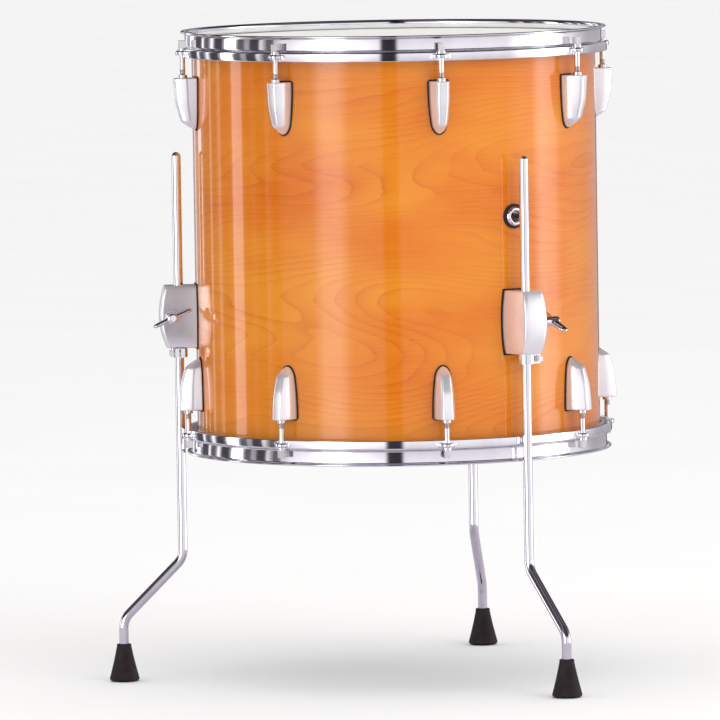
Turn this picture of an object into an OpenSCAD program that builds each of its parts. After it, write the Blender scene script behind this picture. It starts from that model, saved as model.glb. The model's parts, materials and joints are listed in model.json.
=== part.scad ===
// Floor tom drum: a wooden shell with two heads, held by triple-flanged hoops,
// tension rods and lugs, standing on three bent legs in clamping brackets.
// The origin is the centre of the upper (batter) head's playing face, +Z is up,
// and -Y is the front, where the air vent and one leg bracket are.

/* [Shell] */
// Outer diameter of the shell
shell_d = 406.4; // [380:0.1:420]
// Length of the shell from one bearing edge to the other
shell_depth = 406.4; // [400:0.1:450]
// Wall thickness of the shell
shell_wall = 7.5; // [6:0.1:9]
// Hole in the shell for the vent grommet
vent_d = 12.8; // [11:0.1:14]
// Depth of the vent below the upper playing face
vent_depth = 173; // [120:1:220]

/* [Heads and hoops] */
// Turn of the first lug from the front
lug_phase = 22.5; // [20:0.5:25]
// Sheet thickness of the hoops
hoop_t = 2; // [1.6:0.1:2.2]
// Height of the hoop's rolled lip above the head
hoop_lip = 9; // [7:0.5:11]
// Lowest edge of the hoop's skirt below the head
hoop_skirt = 16.5; // [16:0.1:18]
// Thickness of the head film
film_t = 0.25; // [0.2:0.05:0.3]

/* [Tension rods and lugs] */
// Radius of the circle that the tension rods stand on
rod_circle_r = 216.5; // [216:0.1:217]
// Diameter of a tension rod
rod_d = 5.5; // [5:0.1:5.6]
// Length of a tension rod below its flange
rod_l = 54; // [48:1:56]
// Height of the square key head
key_h = 7.5; // [6:0.5:9]
// Distance from the head to the lug's flat end
lug_z = 36.5; // [35:0.5:40]
// Length of a lug
lug_l = 52; // [50:0.5:56]
// Width of a lug
lug_w = 20; // [19.5:0.5:22]
// How far a lug stands out from its gasket
lug_depth = 21.5; // [21:0.5:24]

/* [Leg brackets] */
// Turn of the left leg from the front
left_leg_turn = -120; // [-124:1:-118]
// Turn of the back leg from the front
back_leg_turn = 125; // [118:1:126]
// Height of the bracket's middle below the head
bracket_z = 277.5; // [270:0.5:285]
// Height of a bracket
bracket_h = 63; // [61:0.5:66]
// Width of a bracket at its middle
bracket_w = 31; // [30:0.5:34]
// How far a bracket stands out from the shell
bracket_depth = 37; // [36:0.5:40]

/* [Legs] */
// Swivel of the back leg about its own rod, away from pointing straight out
back_leg_swivel = 12; // [0:1:20]
// Diameter of the leg rod
leg_d = 9.5; // [9:0.1:10]
// Radius of the circle that the legs' upper ends stand on
leg_circle_r = 221; // [220.8:0.1:221.4]
// Depth of the leg's upper end below the head
leg_top = 112; // [100:1:140]
// Depth of the leg's upper bend below the head
leg_bend = 522; // [500:1:540]
// Outward step of the leg between its two bends
leg_offset = 61; // [50:1:70]
// Bend radius of the leg's centre line
leg_bend_r = 20; // [16:1:24]
// Depth of the floor below the head
floor_z = 645.5; // [635:0.5:660]
// Height of a rubber foot
foot_h = 38; // [34:1:42]
// Largest diameter of a rubber foot
foot_d = 30; // [26:1:34]

/* [Clearances] */
// Radial running clearance of everything that slides or turns
run_gap = 0.05; // [0.03:0.01:0.08]
// Gap between faces that rest on each other
face_gap = 0.02; // [0.01:0.01:0.04]

/* [Hidden] */
$fn = 96;

// Shell
shell_r = shell_d / 2;
shell_in_r = shell_r - shell_wall;
edge_z = film_t + 2 * face_gap;
mid_z = edge_z + shell_depth / 2;
edge_round = 2;

// Vent: an outer flange, a rim rolled over inside and a black washer
vent_bore_d = 10.5;
vent_flange_d = 19.5;
vent_flange_t = 1.8;
vent_rim_d = 17;
vent_rim_t = 1.2;
vent_washer_d = 24.5;
vent_washer_t = 1.5;

// Heads: the film runs over the edge and down into the flesh hoop
film_in_r = shell_r + 0.15;
film_out_r = film_in_r + film_t;
film_flange_z = 12;
film_flange_r = film_out_r + 3.6;
flesh_in_r = film_out_r + 0.4;
flesh_out_r = flesh_in_r + 5.2;
flesh_top = 8.6;
flesh_bottom = 16;

// Hoop: wall, step over the flesh hoop, skirt, lip and ears
wall_in_r = film_out_r + 0.5;
wall_out_r = wall_in_r + hoop_t;
step_z = flesh_top - face_gap - hoop_t;
skirt_in_r = flesh_out_r + 0.3;
skirt_out_r = skirt_in_r + hoop_t;
lip_r = wall_out_r + 4.4;
bend_in = 1;
bend_out = bend_in + hoop_t / 2;
ear_top = 9;
ear_h = 4.5;
ear_hole_d = rod_d + 0.7;
ear_r = 7;
ear_root_w = 20;

// Tension rods
washer_d = 10;
washer_t = 1.1;
rod_flange_d = 9;
rod_flange_h = 1.6;
key_w = 6.3;
rod_seat_z = ear_top - washer_t - 2 * face_gap;

// Lugs
lug_count = 8;
gasket_t = 1.2;
gasket_rim = 1.4;
lug_back_r = shell_r + gasket_t;
nut_body_d = 8;
nut_collar_d = 9;
nut_collar_h = 3;
nut_l = 15.5;
rod_well_d = rod_d + 1.1;
rod_well_l = 34;
lug_screw_d = 4;
lug_screw_z = [12, 40];
lug_screw_tip_r = lug_back_r + 6;

// Radial screws that hold lugs and brackets from inside the shell
screw_hole_gap = 0.3;
washer_seat_r = shell_in_r - 0.2;
screw_washer_t = 1;
screw_head_h = 2.6;

// Leg brackets
bracket_end_w = 26;
bracket_side_narrowing = 2.2;
bracket_corner_r = 4;
bracket_top_depth = 32;
bracket_bottom_depth = 30;
bracket_screw_d = 5;
bracket_screw_z = [-27, 27];
bracket_screw_tip_r = lug_back_r + 9.5;
leg_bore_d = leg_d + 2 * run_gap;

// Clamp: a block drawn sideways onto the leg by the wing bolt
bolt_d = 6;
bolt_r = leg_circle_r + leg_d / 2 + bolt_d / 2 + 0.25;
bolt_boss_d = 13;
bolt_boss_t = bracket_w / 2 + 0.5;
pocket_h = 30.5;
pocket_in_r = leg_circle_r - 9.2;
pocket_out_r = bolt_r + bolt_d / 2 + 1.6;
pocket_t = 12;
block_t = 9.8;
block_h = 28.5;
block_face = 0.6;
wing_washer_t = 1.2;
wing_hub_d = 10;
wing_hub_t = 34;
wing_span = 43;
wing_w = 9;
wing_t = 4;
wing_tip_d = 9;
wing_tilt = 24;

// Memory lock: a split collar under the bracket
lock_d = 16.8;
lock_h = 9.5;
lock_top = bracket_z + bracket_h / 2 + 0.1;
lock_ear_t = 14;
lock_ear_w = 10;
lock_slit = 1.6;
lock_screw_d = 4;
lock_screw_t = 10.4;
lock_screw_flange_d = 7;
lock_key_w = 5;

// Legs and feet
bend_angle = 45;
bend_trim = leg_bend_r * tan(bend_angle / 2);
bend_swell = 0.02;
bend_overlap = 0.5;
leg_low_bend = leg_bend + leg_offset / tan(bend_angle);
foot_bore_l = 28;
foot_top_d = 15.4;
foot_collar_h = 4;
foot_flat_r = 9;
foot_edge_h = 2.5;
leg_end = floor_z - foot_h + foot_bore_l - 0.5;

leg_turns = [0, left_leg_turn, back_leg_turn];
lug_turns = [for (i = [0:lug_count - 1]) lug_phase + 360 / lug_count * i];

// Points along an arc in the plane, from angle a0 to a1
function arc(cx, cy, r, a0, a1, n = 6) =
    [for (i = [0:n]) [cx + r * cos(a0 + (a1 - a0) * i / n), cy + r * sin(a0 + (a1 - a0) * i / n)]];

// Half width of a lug at u, where 0 is the flat end and 1 the rounded tip
function shield_w(u) = (1 - 0.4 * pow(u, 2.4)) * sqrt(max(0, 1 - pow(max(0, u - 0.78) / 0.22, 2.6)));

// Distance along a lug of step i of n, with short steps where its tip rounds off
function shield_u(i, n) = i < n / 2 ? 1.56 * i / n : 0.78 + 0.22 * sin(180 * i / n - 90);

// Outline of a lug seen from outside, grown by g on every side, flat end up, corners cut by c
function shield(g, n = 16) = let (w = lug_w / 2 + g, l = lug_l + 2 * g, c = g + 0.8) concat(
    [[w - c, g], [w, g - c]],
    [for (i = [1:n]) let (u = shield_u(i, n)) [w * shield_w(u), g - l * u]],
    [for (i = [n - 1:-1:1]) let (u = shield_u(i, n)) [-w * shield_w(u), g - l * u]],
    [[-w, g - c], [c - w, g]]
);

// Outline of a bracket seen from outside, grown by g, with arched sides
function barrel(g, n = 12) = concat(
    [for (i = [0:n]) [barrel_w(2 * i / n - 1) + g, (bracket_h / 2 + g) * (2 * i / n - 1)]],
    [for (i = [n:-1:0]) [-barrel_w(2 * i / n - 1) - g, (bracket_h / 2 + g) * (2 * i / n - 1)]]
);
function barrel_w(u) = bracket_w / 2 - (bracket_w - bracket_end_w) / 2 * u * u;

// Depth of a bracket at u, from -1 at its lower end to 1 at its upper end
function bracket_d(u) =
    bracket_depth - u * u * (bracket_depth - (u > 0 ? bracket_top_depth : bracket_bottom_depth));

// Places children at a turn from the front: local x is outward, y runs anticlockwise
module at(turn, z = 0) {
    rotate([0, 0, turn - 90]) translate([0, 0, -z]) children();
}

// Reflects the upper end of the drum to the lower end
module lower_end() {
    translate([0, 0, -2 * mid_z]) mirror([0, 0, 1]) children();
}

// Cylinder along local x between two radii
module radial_cylinder(r0, r1, d) {
    translate([r0, 0, 0]) rotate([0, 90, 0]) cylinder(d = d, h = r1 - r0);
}

// Cylinder along local y between two distances
module tangent_cylinder(t0, t1, d) {
    translate([0, t0, 0]) rotate([-90, 0, 0]) cylinder(d = d, h = t1 - t0);
}

// Prism along local x of an outline drawn in y and z
module radial_prism(r0, r1) {
    translate([r0, 0, 0]) rotate([90, 0, 90]) linear_extrude(r1 - r0) children();
}

// Prism along local y of a profile drawn in x and z
module tangent_prism(w) {
    rotate([90, 0, 0]) linear_extrude(w, center = true) children();
}

// ---- Shell ----

module shell_wall_profile() {
    polygon(concat(
        [[shell_in_r, -mid_z], [shell_in_r, -edge_z - shell_wall + edge_round]],
        [[shell_r - edge_round, -edge_z]],
        arc(shell_r - edge_round, -edge_z - edge_round, edge_round, 90, 0),
        [[shell_r, -mid_z]]
    ));
}

module shell() {
    color("darkorange") difference() {
        union() {
            rotate_extrude() shell_wall_profile();
            lower_end() rotate_extrude() shell_wall_profile();
        }
        at(0, vent_depth) radial_cylinder(shell_in_r - 1, shell_r + 1, vent_d);
        for (turn = lug_turns, dz = lug_screw_z) {
            at(turn, lug_z + dz)
                radial_cylinder(shell_in_r - 1, shell_r + 1, lug_screw_d + 2 * screw_hole_gap);
            at(turn, 2 * mid_z - lug_z - dz)
                radial_cylinder(shell_in_r - 1, shell_r + 1, lug_screw_d + 2 * screw_hole_gap);
        }
        for (turn = leg_turns, dz = bracket_screw_z)
            at(turn, bracket_z + dz)
                radial_cylinder(shell_in_r - 1, shell_r + 1, bracket_screw_d + 2 * screw_hole_gap);
    }
}

module vent_grommet() {
    tube_d = vent_d - 2 * run_gap;
    flange_r = shell_r + vent_washer_t + 2 * face_gap;
    color("silver") at(0, vent_depth) difference() {
        union() {
            radial_cylinder(washer_seat_r - vent_rim_t, flange_r + vent_flange_t, tube_d);
            radial_cylinder(flange_r, flange_r + vent_flange_t, vent_flange_d);
            radial_cylinder(washer_seat_r - vent_rim_t, washer_seat_r, vent_rim_d);
        }
        radial_cylinder(washer_seat_r - 3, flange_r + 3, vent_bore_d);
    }
}

module vent_washer() {
    color("black") at(0, vent_depth) difference() {
        radial_cylinder(shell_r - 3, shell_r + vent_washer_t + face_gap, vent_washer_d);
        radial_cylinder(shell_r - 4, shell_r + 4, vent_d + 0.4);
        translate([0, 0, -15]) cylinder(r = shell_r + face_gap, h = 30, $fn = 360);
    }
}

// ---- Lugs ----

module lug() {
    difference() {
        intersection() {
            radial_prism(lug_back_r - 4, lug_back_r + lug_depth + 1) polygon(shield(0));
            tangent_prism(lug_w + 2) polygon([
                [lug_back_r - 4, 0], [lug_back_r + lug_depth, 0],
                [lug_back_r + lug_depth - 2, -0.5 * lug_l],
                [lug_back_r + lug_depth - 7, -0.84 * lug_l],
                [lug_back_r + 1.5, -lug_l], [lug_back_r - 4, -lug_l]
            ]);
            translate([0, 0, -lug_l - 1]) linear_extrude(lug_l + 2) polygon([
                [lug_back_r - 4, -lug_w / 2], [lug_back_r + 12, -lug_w / 2],
                [lug_back_r + lug_depth, -lug_w / 2 + 4.5],
                [lug_back_r + lug_depth, lug_w / 2 - 4.5],
                [lug_back_r + 12, lug_w / 2], [lug_back_r - 4, lug_w / 2]
            ]);
        }
        translate([0, 0, -lug_l - 1])
            cylinder(r = lug_back_r + face_gap, h = lug_l + 2, $fn = 360);
        translate([rod_circle_r, 0, -nut_l - 0.1])
            cylinder(d = nut_body_d + 2 * run_gap, h = nut_l + 1);
        translate([rod_circle_r, 0, -rod_well_l]) cylinder(d = rod_well_d, h = rod_well_l);
        for (dz = lug_screw_z)
            translate([0, 0, -dz])
                radial_cylinder(lug_back_r - 4, lug_screw_tip_r + 0.3, lug_screw_d + 2 * run_gap);
    }
}

module lug_gasket() {
    intersection() {
        radial_prism(shell_r - 8, shell_r + 4) polygon(shield(gasket_rim));
        difference() {
            translate([0, 0, -lug_l - 3]) cylinder(r = lug_back_r, h = lug_l + 6, $fn = 360);
            translate([0, 0, -lug_l - 4])
                cylinder(r = shell_r + face_gap, h = lug_l + 8, $fn = 360);
            for (dz = lug_screw_z)
                translate([0, 0, -dz])
                    radial_cylinder(shell_r - 8, shell_r + 8, lug_screw_d + 2 * screw_hole_gap);
        }
    }
}

module swivel_nut() {
    difference() {
        union() {
            translate([0, 0, face_gap]) cylinder(d = nut_collar_d, h = nut_collar_h);
            translate([0, 0, -nut_l]) cylinder(d = nut_body_d, h = nut_l + 1);
        }
        translate([0, 0, -nut_l - 1])
            cylinder(d = rod_d + 2 * run_gap, h = nut_l + nut_collar_h + 2);
    }
}

module batter_lugs() {
    color("gainsboro") for (turn = lug_turns) at(turn, lug_z) lug();
}

module resonant_lugs() {
    color("gainsboro") lower_end() for (turn = lug_turns) at(turn, lug_z) lug();
}

module batter_lug_gaskets() {
    color("black") for (turn = lug_turns) at(turn, lug_z) lug_gasket();
}

module resonant_lug_gaskets() {
    color("black") lower_end() for (turn = lug_turns) at(turn, lug_z) lug_gasket();
}

module batter_swivel_nuts() {
    color("silver") for (turn = lug_turns)
        at(turn, lug_z) translate([rod_circle_r, 0, 0]) swivel_nut();
}

module resonant_swivel_nuts() {
    color("silver") lower_end() for (turn = lug_turns)
        at(turn, lug_z) translate([rod_circle_r, 0, 0]) swivel_nut();
}

// Pan-head screw driven outward from inside the shell
module radial_screw(d, tip_r) {
    seat_r = washer_seat_r - screw_washer_t - face_gap;
    radial_cylinder(seat_r - 1, tip_r, d);
    radial_cylinder(seat_r - screw_head_h, seat_r, 1.9 * d);
}

module radial_screw_washer(d) {
    difference() {
        radial_cylinder(washer_seat_r - screw_washer_t, washer_seat_r, 2.3 * d);
        radial_cylinder(washer_seat_r - 3, washer_seat_r + 1, d + 2 * screw_hole_gap);
    }
}

module lug_screws() {
    color("silver") for (turn = lug_turns, dz = lug_screw_z) {
        at(turn, lug_z + dz) radial_screw(lug_screw_d, lug_screw_tip_r);
        at(turn, 2 * mid_z - lug_z - dz) radial_screw(lug_screw_d, lug_screw_tip_r);
    }
}

module lug_screw_washers() {
    color("silver") for (turn = lug_turns, dz = lug_screw_z) {
        at(turn, lug_z + dz) radial_screw_washer(lug_screw_d);
        at(turn, 2 * mid_z - lug_z - dz) radial_screw_washer(lug_screw_d);
    }
}

// ---- Leg brackets and their clamps ----

// Bracket body before any hollow is cut, centred on its own height
module bracket_blank() {
    front_r = shell_r + bracket_depth;
    corner_t = bracket_w / 2 - bracket_side_narrowing;
    steps = 12;
    intersection() {
        radial_prism(lug_back_r - 5, front_r + 1) polygon(barrel(0));
        tangent_prism(bracket_w + 2) polygon(concat(
            [[lug_back_r - 5, -bracket_h / 2]],
            [for (i = [0:steps]) let (u = 2 * i / steps - 1) [shell_r + bracket_d(u), u * bracket_h / 2]],
            [[lug_back_r - 5, bracket_h / 2]]
        ));
        translate([0, 0, -bracket_h / 2 - 1]) linear_extrude(bracket_h + 2) polygon(concat(
            [[lug_back_r - 5, -bracket_w / 2]],
            arc(front_r - bracket_corner_r, bracket_corner_r - corner_t, bracket_corner_r, -90, 0),
            arc(front_r - bracket_corner_r, corner_t - bracket_corner_r, bracket_corner_r, 0, 90),
            [[lug_back_r - 5, bracket_w / 2]]
        ));
    }
}

module leg_bracket() {
    difference() {
        union() {
            bracket_blank();
            translate([bolt_r, 0, 0]) tangent_cylinder(0, bolt_boss_t, bolt_boss_d);
        }
        translate([0, 0, -bracket_h / 2 - 1])
            cylinder(r = lug_back_r + face_gap, h = bracket_h + 2, $fn = 360);
        translate([leg_circle_r, 0, -bracket_h / 2 - 1])
            cylinder(d = leg_bore_d, h = bracket_h + 2);
        translate([pocket_in_r, -pocket_t, -pocket_h / 2])
            cube([pocket_out_r - pocket_in_r, pocket_t, pocket_h]);
        translate([bolt_r, 0, 0]) tangent_cylinder(-1, bolt_boss_t + 1, bolt_d + 2 * run_gap);
        for (dz = bracket_screw_z)
            translate([0, 0, dz])
                radial_cylinder(lug_back_r - 4, bracket_screw_tip_r + 0.3, bracket_screw_d + 2 * run_gap);
    }
}

module bracket_gasket() {
    intersection() {
        radial_prism(shell_r - 12, shell_r + 4) polygon(barrel(gasket_rim));
        difference() {
            translate([0, 0, -bracket_h]) cylinder(r = lug_back_r, h = 2 * bracket_h, $fn = 360);
            translate([0, 0, -bracket_h - 1])
                cylinder(r = shell_r + face_gap, h = 2 * bracket_h + 2, $fn = 360);
            for (dz = bracket_screw_z)
                translate([0, 0, dz])
                    radial_cylinder(shell_r - 8, shell_r + 8, bracket_screw_d + 2 * screw_hole_gap);
        }
    }
}

// Block that the wing bolt draws against the leg
module clamp_block() {
    color("dimgray") difference() {
        translate([pocket_in_r + 0.2, -block_t, -block_h / 2])
            cube([pocket_out_r - pocket_in_r - 0.4, block_t - block_face, block_h]);
        translate([leg_circle_r, 0, -block_h]) cylinder(d = leg_bore_d, h = 2 * block_h);
        translate([bolt_r, 0, 0])
            tangent_cylinder(-block_t - 1, 1, bolt_d + 2 * run_gap);
    }
}

// One lobe of a wing, a tapered plate with a round end
module wing_lobe() {
    reach = (wing_span - wing_tip_d) / 2;
    hub_w = wing_w + 2;
    translate([0, 0, -wing_t / 2]) linear_extrude(wing_t) union() {
        translate([reach, wing_hub_t - wing_tip_d / 2]) circle(d = wing_tip_d);
        polygon([
            [0, wing_hub_t - hub_w - 1], [reach, wing_hub_t - wing_tip_d],
            [reach, wing_hub_t], [0, wing_hub_t - 1]
        ]);
    }
}

module wing_bolt() {
    hub_t = bolt_boss_t + wing_washer_t + 2 * face_gap;
    color("silver") translate([bolt_r, 0, 0]) union() {
        tangent_cylinder(-block_t + 0.5, hub_t + 1, bolt_d);
        tangent_cylinder(hub_t, wing_hub_t - 1, wing_hub_d);
        tangent_cylinder(wing_hub_t - 2, wing_hub_t, wing_hub_d - 3);
        for (turn = [0, 180]) rotate([0, wing_tilt + turn, 0]) wing_lobe();
    }
}

module wing_bolt_washers() {
    color("silver") for (turn = leg_turns) at(turn, bracket_z) translate([bolt_r, 0, 0])
        difference() {
            tangent_cylinder(bolt_boss_t + face_gap, bolt_boss_t + face_gap + wing_washer_t, 12);
            tangent_cylinder(bolt_boss_t - 1, bolt_boss_t + 3, bolt_d + 2 * run_gap);
        }
}

module front_leg_bracket() {
    color("gainsboro") at(0, bracket_z) leg_bracket();
}

module left_leg_bracket() {
    color("gainsboro") at(left_leg_turn, bracket_z) leg_bracket();
}

module back_leg_bracket() {
    color("gainsboro") at(back_leg_turn, bracket_z) leg_bracket();
}

module leg_bracket_gaskets() {
    color("black") for (turn = leg_turns) at(turn, bracket_z) bracket_gasket();
}

module bracket_screws() {
    color("silver") for (turn = leg_turns, dz = bracket_screw_z)
        at(turn, bracket_z + dz) radial_screw(bracket_screw_d, bracket_screw_tip_r);
}

module bracket_screw_washers() {
    color("silver") for (turn = leg_turns, dz = bracket_screw_z)
        at(turn, bracket_z + dz) radial_screw_washer(bracket_screw_d);
}

// ---- Memory locks ----

module memory_lock() {
    color("silver") translate([leg_circle_r, 0, -lock_h]) difference() {
        union() {
            cylinder(d = lock_d, h = lock_h);
            translate([-lock_ear_w / 2, 0, 0]) cube([lock_ear_w, lock_ear_t, lock_h]);
        }
        translate([0, 0, -1]) cylinder(d = leg_bore_d, h = lock_h + 2);
        translate([-lock_slit / 2, 0, -1]) cube([lock_slit, lock_ear_t + 1, lock_h + 2]);
        translate([0, lock_screw_t, lock_h / 2])
            radial_cylinder(-lock_d, lock_d, lock_screw_d + 2 * run_gap);
    }
}

module lock_screw() {
    seat = lock_ear_w / 2 + face_gap;
    color("silver") translate([leg_circle_r, lock_screw_t, -lock_h / 2]) union() {
        radial_cylinder(-seat - 0.5, seat + 1, lock_screw_d);
        radial_cylinder(seat, seat + 1.2, lock_screw_flange_d);
        translate([seat + 1, -lock_key_w / 2, -lock_key_w / 2]) cube([4.5, lock_key_w, lock_key_w]);
    }
}

// ---- Legs and feet ----

// One bend of the rod in the local x-z plane, starting at angle a, a hair thicker than the rod
module leg_bend_piece(x, z, a) {
    translate([x, 0, z]) rotate([90, 0, 0]) rotate([0, 0, a])
        rotate_extrude(angle = bend_angle)
            translate([leg_bend_r, 0]) circle(d = leg_d + 2 * bend_swell);
}

// Bent rod: upright with a domed top, a step outward, upright again
module leg_rod() {
    low = leg_circle_r + leg_offset;
    upright_end = -leg_bend + bend_trim - bend_overlap;
    slope_start = bend_trim - bend_overlap;
    slope_l = leg_offset / sin(bend_angle) - 2 * slope_start;
    color("silver") union() {
        translate([leg_circle_r, 0, 0]) rotate_extrude() polygon(concat(
            [[0, upright_end], [leg_d / 2, upright_end]],
            arc(0, -leg_top - leg_d / 2, leg_d / 2, 0, 90)
        ));
        leg_bend_piece(leg_circle_r + leg_bend_r, -leg_bend + bend_trim, 180);
        translate([
            leg_circle_r + slope_start * sin(bend_angle), 0, -leg_bend - slope_start * cos(bend_angle)
        ]) rotate([0, 180 - bend_angle, 0]) cylinder(d = leg_d, h = slope_l);
        leg_bend_piece(low - leg_bend_r, -leg_low_bend - bend_trim, 0);
        translate([low, 0, -leg_end])
            cylinder(d = leg_d, h = leg_end - leg_low_bend - bend_trim + bend_overlap);
    }
}

// Rubber foot: a short collar that flares to a rounded sole
module rubber_foot() {
    flare_h = foot_h - foot_collar_h - foot_edge_h;
    steps = 8;
    color("black") translate([leg_circle_r + leg_offset, 0, -floor_z]) difference() {
        rotate_extrude() polygon(concat(
            [[0, 0], [foot_flat_r, 0]],
            [[foot_d / 2 - 2, 0.7], [foot_d / 2, foot_edge_h]],
            [for (i = [1:steps]) let (u = i / steps)
                [foot_d / 2 - (foot_d - foot_top_d) / 2 * (0.75 * u + 0.25 * sin(90 * u)),
                 foot_edge_h + flare_h * u]],
            [[foot_top_d / 2, foot_h - 0.8], [foot_top_d / 2 - 0.8, foot_h], [0, foot_h]]
        ));
        translate([0, 0, foot_h - foot_bore_l]) cylinder(d = leg_bore_d, h = foot_bore_l + 1);
    }
}

// Turns its children about the axis of the leg's upper end
module swivelled() {
    translate([leg_circle_r, 0, 0]) rotate([0, 0, back_leg_swivel])
        translate([-leg_circle_r, 0, 0]) children();
}

// ---- Heads and hoops ----

module hoop_profile() {
    polygon(concat(
        [[skirt_in_r, -hoop_skirt], [skirt_out_r, -hoop_skirt]],
        arc(skirt_out_r - bend_out, -step_z - bend_out, bend_out, 0, 90),
        arc(wall_out_r + bend_in, -step_z + bend_in, bend_in, 270, 180),
        arc(wall_out_r + bend_in, hoop_lip - hoop_t - bend_in, bend_in, 180, 90),
        arc(lip_r - hoop_t / 2, hoop_lip - hoop_t / 2, hoop_t / 2, -90, 90),
        arc(wall_in_r + bend_in + hoop_t, hoop_lip - bend_in - hoop_t, bend_in + hoop_t, 90, 180),
        [[wall_in_r, -step_z - hoop_t], [skirt_in_r, -step_z - hoop_t]]
    ));
}

// Ear plan, from the skirt outward round the rod, shrunk by g
module ear_plan(g) {
    union() {
        translate([rod_circle_r, 0]) circle(r = ear_r - g);
        polygon([
            [skirt_in_r + 0.6, -ear_root_w / 2 + g], [rod_circle_r, -ear_r + g],
            [rod_circle_r, ear_r - g], [skirt_in_r + 0.6, ear_root_w / 2 - g]
        ]);
    }
}

module hoop() {
    difference() {
        union() {
            rotate_extrude($fn = 180) hoop_profile();
            for (turn = lug_turns) at(turn, ear_top + ear_h)
                difference() {
                    linear_extrude(ear_h) ear_plan(0);
                    translate([0, 0, -1]) linear_extrude(ear_h - hoop_t + 1) ear_plan(hoop_t - 0.2);
                }
        }
        for (turn = lug_turns) at(turn, hoop_skirt)
            translate([rod_circle_r, 0, 0]) cylinder(d = ear_hole_d, h = hoop_skirt);
    }
}

module head_film() {
    corner = 1.05;
    rotate_extrude($fn = 180) polygon(concat(
        [[0, -film_t], [0, 0]],
        arc(film_in_r - corner, -corner - film_t, corner + film_t, 90, 0),
        [[film_out_r, -film_flange_z], [film_flange_r, -film_flange_z]],
        [[film_flange_r, -film_flange_z - film_t], [film_in_r, -film_flange_z - film_t]],
        arc(film_in_r - corner, -corner - film_t, corner, 0, 90)
    ));
}

// Ring with a groove that holds the film's edge
module flesh_hoop() {
    groove = face_gap + 0.03;
    rotate_extrude($fn = 180) polygon([
        [flesh_in_r, -flesh_top], [flesh_out_r, -flesh_top],
        [flesh_out_r, -flesh_bottom], [flesh_in_r, -flesh_bottom],
        [flesh_in_r, -film_flange_z - film_t - groove],
        [film_flange_r + groove, -film_flange_z - film_t - groove],
        [film_flange_r + groove, -film_flange_z + groove],
        [flesh_in_r, -film_flange_z + groove]
    ]);
}

module rod_washers() {
    for (turn = lug_turns) at(turn, ear_top - face_gap) translate([rod_circle_r, 0, 0])
        difference() {
            cylinder(d = washer_d, h = washer_t);
            translate([0, 0, -1]) cylinder(d = rod_d + 2 * run_gap, h = washer_t + 2);
        }
}

// Key rod number i, counted from the front
module tension_rod(i) {
    color("silver") at(lug_turns[i - 1], rod_seat_z)
        translate([rod_circle_r, 0, 0]) union() {
            translate([0, 0, -rod_l]) cylinder(d = rod_d, h = rod_l + 1);
            cylinder(d = rod_flange_d, h = rod_flange_h);
            translate([-key_w / 2, -key_w / 2, 0]) cube([key_w, key_w, rod_flange_h + key_h]);
        }
}

module batter_hoop() {
    color("silver") hoop();
}

module batter_head_film() {
    color("white") head_film();
}

module batter_flesh_hoop() {
    color("lightgray") flesh_hoop();
}

module batter_rod_washers() {
    color("silver") rod_washers();
}

module batter_rod(i) {
    tension_rod(i);
}

module resonant_hoop() {
    color("silver") lower_end() hoop();
}

module resonant_head_film() {
    color("white") lower_end() head_film();
}

module resonant_flesh_hoop() {
    color("lightgray") lower_end() flesh_hoop();
}

module resonant_rod_washers() {
    color("silver") lower_end() rod_washers();
}

module resonant_rod(i) {
    lower_end() tension_rod(i);
}

// ---- One line per node ----

shell();
vent_grommet();
vent_washer();
batter_lugs();
resonant_lugs();
batter_lug_gaskets();
resonant_lug_gaskets();
batter_swivel_nuts();
resonant_swivel_nuts();
lug_screws();
lug_screw_washers();
front_leg_bracket();
left_leg_bracket();
back_leg_bracket();
leg_bracket_gaskets();
bracket_screws();
bracket_screw_washers();
wing_bolt_washers();
at(0, bracket_z) clamp_block();  // front_clamp_block
at(left_leg_turn, bracket_z) clamp_block();  // left_clamp_block
at(back_leg_turn, bracket_z) clamp_block();  // back_clamp_block
at(0, bracket_z) wing_bolt();  // front_wing_bolt
at(left_leg_turn, bracket_z) wing_bolt();  // left_wing_bolt
at(back_leg_turn, bracket_z) wing_bolt();  // back_wing_bolt
at(0, lock_top) memory_lock();  // front_memory_lock
at(left_leg_turn, lock_top) memory_lock();  // left_memory_lock
at(back_leg_turn, lock_top) memory_lock();  // back_memory_lock
at(0, lock_top) lock_screw();  // front_lock_screw
at(left_leg_turn, lock_top) lock_screw();  // left_lock_screw
at(back_leg_turn, lock_top) lock_screw();  // back_lock_screw
at(0) leg_rod();  // front_leg
at(left_leg_turn) leg_rod();  // left_leg
at(back_leg_turn) swivelled() leg_rod();  // back_leg
at(0) rubber_foot();  // front_foot
at(left_leg_turn) rubber_foot();  // left_foot
at(back_leg_turn) swivelled() rubber_foot();  // back_foot
batter_hoop();
batter_head_film();
batter_flesh_hoop();
batter_rod_washers();
resonant_hoop();
resonant_head_film();
resonant_flesh_hoop();
resonant_rod_washers();
batter_rod(1);  // batter_tension_rod_1
batter_rod(2);  // batter_tension_rod_2
batter_rod(3);  // batter_tension_rod_3
batter_rod(4);  // batter_tension_rod_4
batter_rod(5);  // batter_tension_rod_5
batter_rod(6);  // batter_tension_rod_6
batter_rod(7);  // batter_tension_rod_7
batter_rod(8);  // batter_tension_rod_8
resonant_rod(1);  // resonant_tension_rod_1
resonant_rod(2);  // resonant_tension_rod_2
resonant_rod(3);  // resonant_tension_rod_3
resonant_rod(4);  // resonant_tension_rod_4
resonant_rod(5);  // resonant_tension_rod_5
resonant_rod(6);  // resonant_tension_rod_6
resonant_rod(7);  // resonant_tension_rod_7
resonant_rod(8);  // resonant_tension_rod_8
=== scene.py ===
import json
import math

import bmesh
import bpy
from mathutils import Matrix, Vector


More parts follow.
